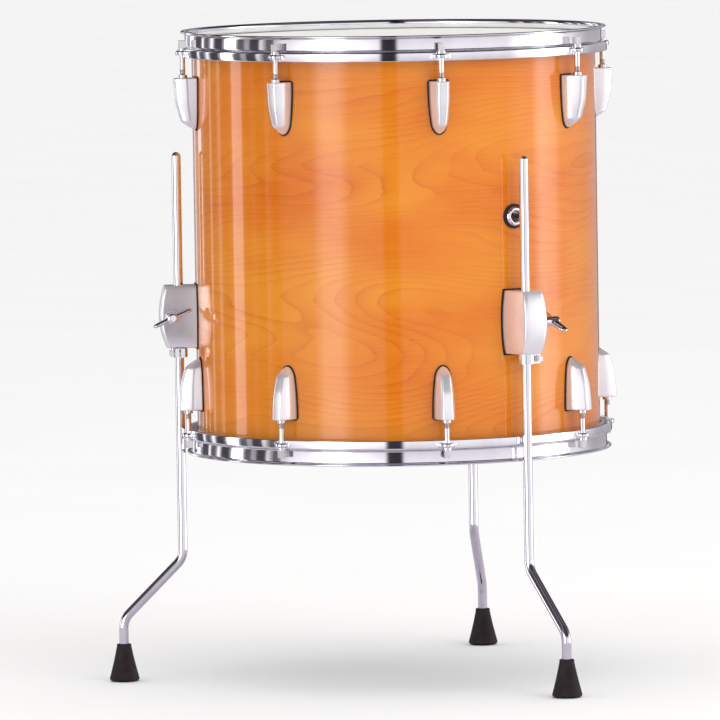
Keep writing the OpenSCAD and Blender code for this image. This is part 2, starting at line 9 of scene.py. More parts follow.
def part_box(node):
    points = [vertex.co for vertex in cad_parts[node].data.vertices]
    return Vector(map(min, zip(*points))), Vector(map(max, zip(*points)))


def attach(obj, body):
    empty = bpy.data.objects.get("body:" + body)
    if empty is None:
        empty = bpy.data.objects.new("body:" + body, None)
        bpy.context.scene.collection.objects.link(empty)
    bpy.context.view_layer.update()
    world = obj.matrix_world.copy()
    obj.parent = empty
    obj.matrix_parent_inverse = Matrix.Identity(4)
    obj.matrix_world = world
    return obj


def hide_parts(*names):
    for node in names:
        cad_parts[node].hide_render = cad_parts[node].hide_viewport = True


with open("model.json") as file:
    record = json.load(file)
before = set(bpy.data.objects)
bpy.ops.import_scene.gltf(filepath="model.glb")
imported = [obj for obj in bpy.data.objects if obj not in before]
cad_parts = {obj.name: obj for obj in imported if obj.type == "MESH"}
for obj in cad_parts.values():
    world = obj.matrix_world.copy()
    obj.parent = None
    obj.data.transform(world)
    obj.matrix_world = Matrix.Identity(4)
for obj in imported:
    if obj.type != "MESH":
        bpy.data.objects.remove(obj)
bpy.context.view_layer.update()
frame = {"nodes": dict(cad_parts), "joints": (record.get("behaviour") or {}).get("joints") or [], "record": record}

NODES = frame["nodes"]
JOINTS = {j["name"]: j for j in frame["joints"]}
SLOTS = {s["node"]: s["material_slot"] for s in frame["record"]["subparts"]}
MM = 0.001
QUARTER = math.pi / 2
LEGS = ("front", "left", "back")
RODS = range(1, 9)


# ---- Places, worked out from the frame ----

def turn_of(x, y):
    """Turn of a point round the drum's axis, from the front (-Y) towards +X."""
    return math.atan2(x, -y)


def station(turn, z=0.0):
    """Matrix of a local frame on the drum's axis: x outward, y anticlockwise, z up."""
    return Matrix.Translation((0, 0, z)) @ Matrix.Rotation(turn - QUARTER, 4, "Z")


def joint_place(name):
    """(turn, radius, height) of a hinge's axis."""
    x, y, z = JOINTS[name]["pos_m"]
    return turn_of(x, y), math.hypot(x, y), z


ROD_TURNS = [joint_place(f"batter_rod_{i}_turn")[0] for i in RODS]
ROD_R = joint_place("batter_rod_1_turn")[1]
LEG_PLACE = {leg: joint_place(f"{leg}_leg_turn") for leg in LEGS}
BOLT_R = -JOINTS["front_wing_turn"]["pos_m"][1]
BOLT_Z = JOINTS["front_wing_turn"]["pos_m"][2]

SHELL_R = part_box("shell")[1].y
SHELL_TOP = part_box("shell")[1].z
SHELL_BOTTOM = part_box("shell")[0].z
MID_Z = (SHELL_TOP + SHELL_BOTTOM) / 2
WALL = 7.5 * MM
LUG_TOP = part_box("batter_lugs")[1].z
LUG_L = LUG_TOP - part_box("batter_lugs")[0].z
BACK_R = -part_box("leg_bracket_gaskets")[0].y
BRACKET_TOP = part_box("front_leg_bracket")[1].z
BRACKET_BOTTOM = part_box("front_leg_bracket")[0].z
BRACKET_FRONT = -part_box("front_leg_bracket")[0].y
HOOP_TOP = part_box("batter_hoop")[1].z
HOOP_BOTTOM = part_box("batter_hoop")[0].z
WASHER_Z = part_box("batter_rod_washers")[0].z
FILM_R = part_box("batter_head_film")[1].y
FLOOR_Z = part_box("front_foot")[0].z
FOOT_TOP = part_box("front_foot")[1].z
BOLT_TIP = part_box("front_wing_bolt")[0].x
LEG_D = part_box("front_leg")[1].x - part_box("front_leg")[0].x
VENT_Z = (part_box("vent_washer")[0].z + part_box("vent_washer")[1].z) / 2


# ---- Node materials ----

class Shader:
    """The node tree of a material or of the world, under construction."""

    def __init__(self, owner, output_kind="OutputMaterial"):
        """Empties the owner's tree but for an output node."""
        owner.use_nodes = True
        self.owner = owner
        self.tree = owner.node_tree
        self.tree.nodes.clear()
        self.output = self.tree.nodes.new("ShaderNode" + output_kind)

    def add(self, kind, props=None, **inputs):
        """Adds a node; an input's underscores stand for spaces, and a socket is linked."""
        node = self.tree.nodes.new("ShaderNode" + kind)
        for key, value in (props or {}).items():
            setattr(node, key, value)
        for key, value in inputs.items():
            self.put(node, key.replace("_", " "), value)
        return node

    def put(self, node, key, value):
        """Sets or links an input, given by its name or as i and its number."""
        numbered = key[0] == "i" and key[1:].isdigit()
        socket = node.inputs[int(key[1:]) if numbered else key]
        if isinstance(value, bpy.types.NodeSocket):
            self.tree.links.new(value, socket)
        else:
            socket.default_value = value

    def surface(self, socket):
        """Links a shader to the output."""
        self.tree.links.new(socket, self.output.inputs["Surface"])

    def math(self, operation, a, b=0.0):
        """Result of a math node."""
        return self.add("Math", {"operation": operation}, i0=a, i1=b).outputs[0]

    def place(self, scale=(1, 1, 1)):
        """Object coordinates, in metres times scale."""
        coords = self.add("TexCoord").outputs["Object"]
        return self.add("Mapping", Vector=coords, Scale=scale).outputs[0]

    def height(self):
        """Height above the object's origin."""
        return self.add("SeparateXYZ", Vector=self.place()).outputs["Z"]

    def reach(self):
        """Distance from the object's upright axis."""
        flat = self.place((1, 1, 0))
        return self.add("VectorMath", {"operation": "LENGTH"}, i0=flat).outputs["Value"]

    def noise(self, scale, vector=None, detail=3.0, roughness=0.5, distortion=0.0):
        """Noise from 0 to 1 over the object's coordinates."""
        node = self.add("TexNoise", Vector=vector or self.place(), Scale=scale, Detail=detail,
                        Roughness=roughness, Distortion=distortion)
        return node.outputs["Fac"]

    def ramp(self, fac, *stops):
        """Colour ramp; each stop is (position, grey value)."""
        node = self.add("ValToRGB", Fac=fac)
        elements = node.color_ramp.elements
        while len(elements) < len(stops):
            elements.new(0.5)
        for element, (position, grey) in zip(elements, stops):
            element.position = position
            element.color = (grey, grey, grey, 1)
        return node.outputs["Color"]

    def spread(self, value, low, high):
        """A value from 0 to 1, spread from low to high."""
        return self.add("MapRange", Value=value, To_Min=low, To_Max=high).outputs[0]

    def mix(self, fac, a, b):
        """Colour between a and b."""
        node = self.add("Mix", {"data_type": "RGBA"}, Factor=fac, i6=a, i7=b)
        return node.outputs[2]

    def bump(self, height, strength, distance, normal=None):
        """Normal of a bumped surface, over another normal if there is one."""
        node = self.add("Bump", Height=height, Strength=strength, Distance=distance)
        if normal is not None:
            self.put(node, "Normal", normal)
        return node.outputs[0]

    def finish(self, **inputs):
        """Ends the tree with a Principled surface and returns its owner."""
        self.surface(self.add("BsdfPrincipled", **inputs).outputs[0])
        return self.owner


def material_shader(name):
    """An empty material under construction."""
    return Shader(bpy.data.materials.new(name))


def rgb(red, green, blue):
    """Linear colour from 0 to 255 screen values."""
    return tuple((c / 255) ** 2.2 for c in (red, green, blue)) + (1.0,)


def grey(value):
    """Linear grey as a colour."""
    return (value, value, value, 1)


def maple_rings(s):
    """Lines of flat-sawn growth rings: contours of height and a slow noise, fading in and out."""
    figure = s.noise(1.0, s.place((2.3, 2.3, 10.0)), detail=1.3, roughness=0.4, distortion=0.15)
    contour = s.math("ADD", s.math("MULTIPLY", figure, 30.0), s.math("MULTIPLY", s.height(), 82.0))
    wobble = s.noise(1.0, s.place((14.0, 14.0, 70.0)), detail=2.0)
    contour = s.math("ADD", contour, s.math("MULTIPLY", wobble, 0.5))
    ring = s.math("FRACT", contour)
    line = s.ramp(ring, (0.0, 0.0), (0.5, 0.1), (0.84, 0.5), (0.95, 1.0), (1.0, 0.0))
    fade = s.ramp(s.noise(1.0, s.place((6.0, 6.0, 24.0)), detail=2.0), (0.36, 0.1), (0.64, 1.0))
    return s.math("MULTIPLY", line, fade)


def stained_veneer(s, rings, fibre):
    """Colour of amber stained maple: clouds, rings, pale fibres and dark pores."""
    cloud = s.noise(1.0, s.place((7.0, 7.0, 14.0)), detail=2.0)
    pores = s.noise(1.0, s.place((90.0, 90.0, 2200.0)), detail=2.0, roughness=0.7)
    colour = s.mix(s.ramp(cloud, (0.3, 0.0), (0.7, 1.0)), rgb(218, 110, 20), rgb(231, 142, 42))
    colour = s.mix(s.math("MULTIPLY", rings, 0.46), colour, rgb(190, 72, 12))
    colour = s.mix(s.ramp(fibre, (0.4, 0.0), (0.8, 0.3)), colour, rgb(236, 156, 64))
    return s.mix(s.ramp(pores, (0.62, 0.0), (0.8, 0.25)), colour, rgb(190, 74, 14))


def raw_maple(s, rings, fibre):
    """Colour of the bare wood inside the shell."""
    colour = s.mix(s.ramp(fibre, (0.3, 0.0), (0.7, 1.0)), rgb(205, 170, 122), rgb(226, 196, 152))
    return s.mix(s.math("MULTIPLY", rings, 0.35), colour, rgb(168, 126, 82))


def maple_material():
    """Amber stained maple veneer under clear gloss lacquer outside, raw maple inside."""
    s = material_shader("lacquered_maple")
    rings = maple_rings(s)
    fibre = s.noise(1.0, s.place((22.0, 22.0, 900.0)), detail=3.0, roughness=0.6)
    outside = s.math("GREATER_THAN", s.reach(), SHELL_R - 0.4 * WALL)
    orange_peel = s.noise(1.0, s.place((160.0, 160.0, 160.0)), detail=1.0)
    return s.finish(
        Base_Color=s.mix(outside, raw_maple(s, rings, fibre), stained_veneer(s, rings, fibre)),
        Normal=s.bump(fibre, 0.08, 0.1 * MM), Roughness=s.mix(outside, grey(0.6), grey(0.34)),
        Specular_IOR_Level=0.08, Coat_Weight=outside, Coat_Roughness=0.04, Coat_IOR=1.44,
        Coat_Normal=s.bump(orange_peel, 0.05, 0.1 * MM),
    )


def threaded(s, thread, normal):
    """Normal with the grooves of a (pitch, lowest, highest) thread about the upright axis."""
    pitch, low, high = thread
    z = s.height()
    groove = s.math("PINGPONG", z, pitch / 2)
    inside = s.math("MULTIPLY", s.math("GREATER_THAN", z, low), s.math("LESS_THAN", z, high))
    return s.bump(s.math("MULTIPLY", groove, inside), 0.6, 0.6, normal)


def metal_material(name, colour, rough_low, rough_high, edge=0.0, grain=(60.0, 60.0, 60.0),
                   bump=0.03, thread=None, metallic=1.0):
    """Plated metal with faint smudges and waviness; edge rounds the corners of a CAD node."""
    s = material_shader(name)
    smudge = s.noise(1.0, s.place(grain), detail=5.0, roughness=0.62)
    cloud = s.noise(38.0, detail=2.0)
    speck = s.noise(900.0, detail=2.0)
    darker = tuple(c * k for c, k in zip(colour, (0.93, 0.915, 0.935))) + (1.0,)
    tint = s.mix(s.ramp(cloud, (0.35, 0.0), (0.65, 1.0)), colour, darker)
    rounded = s.add("Bevel", {"samples": 4}, Radius=edge).outputs[0] if edge else None
    normal = s.bump(speck, 0.02, 0.05 * MM, s.bump(cloud, bump, 0.5 * MM, rounded))
    if thread is not None:
        normal = threaded(s, thread, normal)
    return s.finish(Base_Color=tint, Metallic=metallic, Normal=normal,
                    Roughness=s.spread(smudge, rough_low, rough_high))


def rubber_material(name, colour, rough, grain):
    """Dark rubber with a fine grain, mould bloom and lighter scuffs."""
    s = material_shader(name)
    fine = s.noise(grain, detail=4.0, roughness=0.7)
    bloom = s.noise(55.0, detail=4.0, roughness=0.6)
    dust = tuple(0.75 * c + 0.03 for c in colour[:3]) + (1.0,)
    return s.finish(
        Base_Color=s.mix(s.ramp(bloom, (0.42, 0.0), (0.8, 0.75)), colour, dust),
        Specular_IOR_Level=0.35, Roughness=s.spread(bloom, rough - 0.1, rough + 0.12),
        Normal=s.bump(fine, 0.25, 0.15 * MM, s.bump(bloom, 0.1, 0.3 * MM)),
    )


def coated_film_material():
    """White sprayed coating, worn a little grey where the sticks land."""
    s = material_shader("coated_film")
    speckle = s.noise(1400.0, detail=3.0, roughness=0.7)
    blotch = s.noise(22.0, detail=4.0, roughness=0.6)
    strokes = s.noise(1.0, s.place((45.0, 160.0, 45.0)), detail=4.0, roughness=0.7)
    centre = s.ramp(s.math("DIVIDE", s.reach(), 0.45 * SHELL_R), (0.0, 1.0), (1.0, 0.0))
    wear = s.math("MULTIPLY", centre, s.ramp(strokes, (0.5, 0.0), (0.72, 0.4)))
    white = s.mix(s.ramp(blotch, (0.3, 0.0), (0.7, 1.0)), rgb(240, 239, 233), rgb(246, 246, 242))
    return s.finish(
        Base_Color=s.mix(wear, white, rgb(176, 174, 168)),
        Roughness=s.math("SUBTRACT", 0.62, s.math("MULTIPLY", wear, 0.4)),
        Normal=s.bump(speckle, 0.35, 0.12 * MM),
    )


def clear_film_material():
    """Clear polyester film: it lets light through and has faint haze and scratches."""
    s = material_shader("clear_film")
    haze = s.noise(30.0, detail=4.0)
    fine = s.noise(1.0, s.place((300.0, 40.0, 40.0)), detail=3.0)
    return s.finish(
        Base_Color=rgb(246, 248, 249), IOR=1.32, Transmission_Weight=0.93,
        Roughness=s.spread(haze, 0.04, 0.16), Normal=s.bump(fine, 0.03, 0.05 * MM),
    )


def rod_material(end, low, high):
    """Nickel-plated tension rod with rolled threads between two heights."""
    return metal_material(f"rod_{end}", NICKEL, 0.1, 0.24, edge=0.3 * MM, thread=(ROD_PITCH, low, high))


CHROME = (0.90, 0.895, 0.92, 1.0)
SATIN = (0.90, 0.89, 0.92, 1.0)
NICKEL = (0.80, 0.79, 0.775, 1.0)
ALUMINIUM = (0.78, 0.785, 0.79, 1.0)
CAST_GREY = (0.32, 0.325, 0.33, 1.0)
GASKET_BLACK = (0.006, 0.006, 0.007, 1.0)
RUBBER_BLACK = (0.017, 0.009, 0.011, 1.0)
ROD_PITCH = 25.4 / 24 * MM
THREAD_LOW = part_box("batter_tension_rod_1")[0].z - MM
THREAD_HIGH = THREAD_LOW + 35 * MM

MATERIALS = {
    "lacquered_maple": maple_material(),
    "chrome": metal_material("chrome", CHROME, 0.03, 0.09),
    "chrome_edged": metal_material("chrome_edged", CHROME, 0.03, 0.09, edge=0.35 * MM),
    "chrome_cast": metal_material("chrome_cast", SATIN, 0.13, 0.22, bump=0.06, metallic=0.6),
    "chrome_rod": metal_material("chrome_rod", CHROME, 0.04, 0.1, grain=(90.0, 90.0, 14.0)),
    "plated_steel": metal_material("plated_steel", NICKEL, 0.12, 0.3, edge=0.3 * MM),
    "cast_block": metal_material("cast_block", CAST_GREY, 0.4, 0.6, edge=0.5 * MM, bump=0.3),
    "black_gasket": rubber_material("black_gasket", GASKET_BLACK, 0.5, 700.0),
    "black_rubber": rubber_material("black_rubber", RUBBER_BLACK, 0.62, 420.0),
    "coated_film": coated_film_material(),
    "clear_film": clear_film_material(),
    "aluminium_ring": metal_material("aluminium_ring", ALUMINIUM, 0.18, 0.34, grain=(12.0, 12.0, 900.0)),
    "rod_batter": rod_material("batter", THREAD_LOW, THREAD_HIGH),
    "rod_resonant": rod_material("resonant", 2 * MID_Z - THREAD_HIGH, 2 * MID_Z - THREAD_LOW),
}


def paint(obj, finish):
    """Gives an object one material."""
    obj.data.materials.clear()
    obj.data.materials.append(MATERIALS[finish])


def stand_in(obj, finish, body, node):
    """Paints a piece, lets it ride on a body and puts it in a CAD node's place."""
    paint(obj, finish)
    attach(obj, body)
    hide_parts(node)


# ---- Mesh building ----

SIDEWAYS = Matrix.Rotation(-QUARTER, 4, "X")  # lays an upright shape along y


def place_object(name, mesh, matrix=None):
    """Adds an object of a mesh to the scene."""
    obj = bpy.data.objects.new(name, mesh)
    bpy.context.scene.collection.objects.link(obj)
    if matrix is not None:
        obj.matrix_world = matrix
    return obj


def new_object(name, verts, faces, matrix=None):
    """Adds an object of points and faces to the scene."""
    mesh = bpy.data.meshes.new(name)
    mesh.from_pydata([tuple(v) for v in verts], [], faces)
    mesh.update()
    return place_object(name, mesh, matrix)


def take_mesh(obj):
    """Removes an object and returns its mesh, for copies to share."""
    mesh = obj.data
    bpy.data.objects.remove(obj)
    return mesh


def moved(matrix, verts):
    """Points moved by a matrix."""
    return [matrix @ Vector(v) for v in verts]


def joined(parts):
    """Points and faces of several (points, faces) parts, as one such part."""
    verts, faces = [], []
    for part_verts, part_faces in parts:
        base = len(verts)
        verts += part_verts
        faces += [tuple(base + i for i in face) for face in part_faces]
    return verts, faces


def shade(obj, angle=40.0):
    """Smooth shading, with creases kept where faces meet at more than the angle."""
    limit = math.radians(angle)
    bm = bmesh.new()
    bm.from_mesh(obj.data)
    bmesh.ops.recalc_face_normals(bm, faces=bm.faces)
    for face in bm.faces:
        face.smooth = True
    for edge in bm.edges:
        edge.smooth = len(edge.link_faces) < 2 or edge.calc_face_angle(0.0) < limit
    bm.to_mesh(obj.data)
    bm.free()
    return obj


def band(a, b, n):
    """Faces between two rings of n points that start at points a and b."""
    return [(a + i, a + (i + 1) % n, b + (i + 1) % n, b + i) for i in range(n)]


def skin(rings):
    """Closed skin over a list of rings of equal length."""
    n = len(rings[0])
    last = (len(rings) - 1) * n
    verts = [v for ring in rings for v in ring]
    faces = [face for a in range(0, last, n) for face in band(a, a + n, n)]
    return verts, faces + [tuple(range(n))[::-1], tuple(range(last, last + n))]


def revolve(profile, steps, axis="Z"):
    """Closed surface of revolution of a closed (radius, height) outline about local z or x."""
    verts, faces = [], []
    n = len(profile)
    for k in range(steps):
        a = 2 * math.pi * k / steps
        ring = [(r * math.cos(a), r * math.sin(a), h) for r, h in profile]
        verts += ring if axis == "Z" else [(h, x, y) for x, y, h in ring]
        faces += band(k * n, (k + 1) % steps * n, n)
    return verts, faces


def clean(obj, distance=1e-6):
    """Merges points that fall together, such as those on an axis, and drops empty faces."""
    bm = bmesh.new()
    bm.from_mesh(obj.data)
    bmesh.ops.remove_doubles(bm, verts=bm.verts, dist=distance)
    bmesh.ops.dissolve_degenerate(bm, edges=bm.edges, dist=distance)
    bm.to_mesh(obj.data)
    bm.free()
    return obj


def arc(x, z, radius, start, end, steps=8):
    """Points along an arc, angles in quarter turns."""
    angles = [QUARTER * (start + (end - start) * k / steps) for k in range(steps + 1)]
    return [(x + radius * math.cos(a), z + radius * math.sin(a)) for a in angles]


def bend(a, b, c, t):
    """Point at t, from 0 to 1, of the curve that leaves a towards b and reaches c from b."""
    return (1 - t) ** 2 * a + 2 * t * (1 - t) * b + t * t * c


def rounded_path(points, radii, steps=5):
    """An open path whose inner corners are rounded by the given distances."""
    out = [Vector(points[0])]
    for k in range(1, len(points) - 1):
        before, here, after = (Vector(points[k + d]) for d in (-1, 0, 1))
        start = here + (before - here).normalized() * radii[k]
        end = here + (after - here).normalized() * radii[k]
        out += [bend(start, here, end, i / steps) for i in range(steps + 1)]
    out.append(Vector(points[-1]))
    return out


def edge_inset(s, bevel):
    """Inset of a rounded end edge at a distance s from the end face."""
    return bevel - math.sqrt(max(0.0, bevel ** 2 - (bevel - s) ** 2)) if s < bevel else 0.0


def edge_stops(bevel, steps):
    """Distances from an end face at which sections of its rounded edge are taken."""
    return [bevel * (1 - math.cos(QUARTER * k / steps)) for k in range(steps)]


def soft_min(a, b, blend):
    """The smaller of two lengths, with the change between them rounded."""
    return -blend * math.log(math.exp(-a / blend) + math.exp(-b / blend))


def apply_modifiers(obj):
    """Bakes an object's modifiers into its mesh."""
    graph = bpy.context.evaluated_depsgraph_get()
    mesh = bpy.data.meshes.new_from_object(obj.evaluated_get(graph))
    obj.modifiers.clear()
    obj.data = mesh
    return obj


def cut(obj, tools):
    """Subtracts other objects from obj and removes them."""
    for tool in tools:
        change = obj.modifiers.new("cut", "BOOLEAN")
        change.object = tool
        change.operation = "DIFFERENCE"
        change.solver = "EXACT"
    apply_modifiers(obj)
    for tool in tools:
        bpy.data.objects.remove(tool)
    return obj


def cylinder(name, radius, z0, z1, x=0.0, steps=48):
    """Upright cylinder, to cut a round hole with."""
    angles = [2 * math.pi * k / steps for k in range(steps)]
    circle = [(x + radius * math.cos(a), radius * math.sin(a)) for a in angles]
    return new_object(name, *skin([[(px, py, z) for px, py in circle] for z in (z0, z1)]))


def seat_r(y):
    """Outward place of a casting's back at a sideways distance: just inside its gasket's face."""
    return math.sqrt((BACK_R - 0.3 * MM) ** 2 - y * y)


def casting_back(w):
    """Back of a casting of half width w, curved like the shell."""
    return [Vector((seat_r(y), y)) for y in (w / 2, 0.0, -w / 2)]


# ---- Lugs ----

LUG_W = 20 * MM
LUG_DEPTH = 21.5 * MM
LUG_BEVEL = 0.9 * MM
LUG_TIP = 0.78


def lug_half_width(u):
    """Half the width at a share u of the length: a taper, then a rounded tip."""
    tip = max(0.0, u - LUG_TIP) / (1 - LUG_TIP)
    return LUG_W / 2 * (1 - 0.4 * u ** 2.4) * math.sqrt(max(0.0, 1 - tip ** 2.6))


def lug_front(u):
    """How far the lug stands out at a share u of its length: three slopes, blended."""
    knee, brink = 0.5, 0.84
    knee_out, brink_out, tip_out = LUG_DEPTH - 2 * MM, LUG_DEPTH - 7 * MM, 1.6 * MM
    upper = LUG_DEPTH + (knee_out - LUG_DEPTH) * u / knee
    lower = knee_out + (brink_out - knee_out) * (u - knee) / (brink - knee)
    tip = brink_out + (tip_out - brink_out) * (u - brink) / (1 - brink)
    return soft_min(soft_min(upper, lower, 0.35 * MM), tip, 0.7 * MM)


def lug_section(s):
    """Outline across the lug at a distance s from its flat end: a front facet and two slanted ones."""
    inset = edge_inset(s, LUG_BEVEL)
    w = max(lug_half_width(min(1.0, s / LUG_L)) - inset, 0.05 * MM)
    reach = max(lug_front(s / LUG_L) - inset, 0.4 * MM)
    foot, side, front = seat_r(w), BACK_R + 0.42 * reach, BACK_R + reach
    corners = [(foot, -w), (side, -w), (front, -w / 2), (front, w / 2), (side, w), (foot, w)]
    size = min(1.0, reach / (9 * MM), w / (6 * MM))
    side_round, front_round = 3.4 * MM * size, 2.4 * MM * size
    path = rounded_path(corners, [0, side_round, front_round, front_round, side_round, 0])
    return [(p.x, p.y, -s) for p in path + casting_back(w)]


def lug_mesh():
    """An upper lug, its flat end up and at height 0, as sections close together at its ends."""
    body, tip = LUG_TIP * LUG_L, (1 - LUG_TIP) * LUG_L
    stops = edge_stops(LUG_BEVEL, 4)
    stops += [LUG_BEVEL + (body - LUG_BEVEL) * k / 16 for k in range(16)]
    stops += [body + tip * math.sin(QUARTER * k / 18) for k in range(19)]
    lug = new_object("lug", *skin([lug_section(s) for s in stops]))
    return take_mesh(shade(clean(lug, 2e-6), 50))


def build_lugs():
    """Eight lugs at each end; the lower ones are turned upside down."""
    mesh = lug_mesh()
    for end, z, roll in (("batter", LUG_TOP, 0.0), ("resonant", 2 * MID_Z - LUG_TOP, math.pi)):
        for i, turn in zip(RODS, ROD_TURNS):
            obj = place_object(f"{end}_lug_{i}", mesh, station(turn, z) @ Matrix.Rotation(roll, 4, "X"))
            stand_in(obj, "chrome_cast", "root", f"{end}_lugs")


# ---- Leg brackets ----

BRACKET_W = 31 * MM
BRACKET_END_W = 26 * MM
BRACKET_BEVEL = 1.2 * MM
BRACKET_UPPER_FALL = 5 * MM
BRACKET_LOWER_FALL = 7 * MM


def bracket_section(z, inset):
    """Outline of the casting at a height: a crowned front that falls back towards both ends."""
    half = (BRACKET_TOP - BRACKET_BOTTOM) / 2
    u = (z - (BRACKET_TOP + BRACKET_BOTTOM) / 2) / half
    w = BRACKET_W / 2 - (BRACKET_W - BRACKET_END_W) / 2 * u * u - inset
    fall = BRACKET_UPPER_FALL if u > 0 else BRACKET_LOWER_FALL
    foot, front, crown = seat_r(w), BRACKET_FRONT - fall * u * u - inset, 0.5 * MM
    facet = w - 2.0 * MM
    corners = [(foot, -w), (front, -facet), (front + crown, 0), (front, facet), (foot, w)]
    path = rounded_path(corners, [0, 3.2 * MM, 8 * MM, 3.2 * MM, 0], 6)
    return [(p.x, p.y, z) for p in path + casting_back(w)]


def bracket_skin():
    """Points and faces of the casting, with rounded ends."""
    edge = edge_stops(BRACKET_BEVEL, 5)
    span = BRACKET_TOP - BRACKET_BOTTOM - 2 * BRACKET_BEVEL
    low = [(BRACKET_BOTTOM + d, edge_inset(d, BRACKET_BEVEL)) for d in edge]
    middle = [(BRACKET_BOTTOM + BRACKET_BEVEL + span * k / 20, 0.0) for k in range(21)]
    high = [(BRACKET_TOP - d, edge_inset(d, BRACKET_BEVEL)) for d in edge[::-1]]
    return skin([bracket_section(z, inset) for z, inset in low + middle + high])


def bracket_casting(leg):
    """The casting, bored for its leg."""
    casting = shade(new_object(f"{leg}_bracket_casting", *bracket_skin()))
    radius, past = LEG_D / 2 + 0.25 * MM, 5 * MM
    bore = cylinder("bore", radius, BRACKET_BOTTOM - past, BRACKET_TOP + past, LEG_PLACE[leg][1])
    return shade(cut(casting, [bore]))


def bracket_boss(leg):
    """Round seat on the bracket's side for the wing bolt's washer."""
    buried, seat = 9 * MM, BRACKET_W / 2 + 0.5 * MM
    radius, edge = 6.5 * MM, 0.8 * MM
    profile = [(0, buried), (radius, buried)] + arc(radius - edge, seat - edge, edge, 0, 1, 4) + [(0, seat)]
    verts, faces = revolve(profile, 40)
    place = Matrix.Translation((BOLT_R, 0, BOLT_Z)) @ SIDEWAYS
    return shade(clean(new_object(f"{leg}_bracket_boss", moved(place, verts), faces)), 35)


def build_brackets():
    """Three leg brackets, each a casting and its boss."""
    for leg in LEGS:
        for obj in (bracket_casting(leg), bracket_boss(leg)):
            obj.matrix_world = station(LEG_PLACE[leg][0])
            stand_in(obj, "chrome_cast", "root", f"{leg}_leg_bracket")


# ---- Wing bolts ----

WING_SPAN = 43 * MM
WING_T = 34 * MM
WING_TILT = math.radians(24)
HUB_R = 5 * MM
SHAFT_R = 3 * MM


def lobe_section(x, centre, height, thick):
    """Oval outline across a lobe, a little blunter than an ellipse."""
    ring = []
    for k in range(20):
        a = 2 * math.pi * k / 20
        across = math.copysign(abs(math.cos(a)) ** 0.8, math.cos(a))
        ring.append((x, centre + height * across, thick * math.sin(a)))
    return ring


def wing_lobe(side):
    """A lobe, wide where it leaves the hub, that tapers to a rounded thumb pad."""
    rings = []
    steps, pad_start = 18, 0.8
    for k in range(steps + 1):
        u = k / steps
        pad = max(0.0, u - pad_start) / (1 - pad_start)
        size = max(math.sqrt(max(0.0, 1 - pad ** 2)), 0.05)
        inner = WING_T - (13.5 - 5.2 * u) * MM
        outer = WING_T - (1.4 - 0.8 * u) * MM
        thick = (3.0 - 0.9 * math.sin(QUARTER * u)) * MM
        rings.append(lobe_section(side * u * WING_SPAN / 2, (outer + inner) / 2,
                                  (outer - inner) / 2 * size, thick * size))
    return skin(rings)


def wing_hub():
    """Points and faces of the round hub, with a collar at the bracket."""
    seat, collar = BRACKET_W / 2 + 1.8 * MM, HUB_R + 0.6 * MM
    verts, faces = revolve([
        (0, seat), (collar, seat), (collar, seat + 1.5 * MM), (HUB_R, seat + 3 * MM),
        (HUB_R, WING_T - 1.6 * MM), (HUB_R - 0.5 * MM, WING_T - 0.5 * MM), (HUB_R - 1.6 * MM, WING_T),
        (0, WING_T),
    ], 32)
    return moved(SIDEWAYS, verts), faces


def wing_handle_mesh():
    """Hub and two lobes, joined into one skin with soft fillets."""
    handle = shade(clean(new_object("wing", *joined([wing_hub(), wing_lobe(1), wing_lobe(-1)]))))
    skin_over = handle.modifiers.new("skin", "REMESH")
    skin_over.mode = "VOXEL"
    skin_over.voxel_size = 0.42 * MM
    soften = handle.modifiers.new("soften", "SMOOTH")
    soften.factor = 0.5
    soften.iterations = 6
    return take_mesh(shade(apply_modifiers(handle), 180))


def wing_shaft_mesh():
    """The bolt's threaded end, with a chamfered tip, from inside the bracket to the hub."""
    tip, end, edge = BOLT_TIP, BRACKET_W / 2 + 3 * MM, 0.6 * MM
    profile = [(0, tip), (SHAFT_R - edge, tip), (SHAFT_R, tip + edge), (SHAFT_R, end), (0, end)]
    verts, faces = revolve(profile, 32)
    return take_mesh(shade(clean(new_object("shaft", moved(SIDEWAYS, verts), faces)), 35))


def build_wing_bolts():
    """Three wing bolts, each a cast handle on a steel shaft, tilted about the shaft."""
    parts = (("handle", wing_handle_mesh(), "chrome"), ("shaft", wing_shaft_mesh(), "plated_steel"))
    tilt = Matrix.Rotation(WING_TILT, 4, "Y")
    for leg in LEGS:
        bolt = f"{leg}_wing_bolt"
        place = station(LEG_PLACE[leg][0], BOLT_Z) @ Matrix.Translation((BOLT_R, 0, 0)) @ tilt
        for part, mesh, finish in parts:
            stand_in(place_object(f"{leg}_wing_{part}", mesh, place), finish, bolt, bolt)


# ---- Hoops ----

HOOP_T = 2 * MM
WALL_IN = FILM_R + 0.5 * MM
EAR_REACH = 7 * MM
EAR_Z = WASHER_Z - 0.1 * MM
EAR_H = 4.5 * MM
FLANGE_Z = -6.5 * MM
LIP_OUT = 4.4 * MM
SKIRT_R = WALL_IN + 7.4 * MM


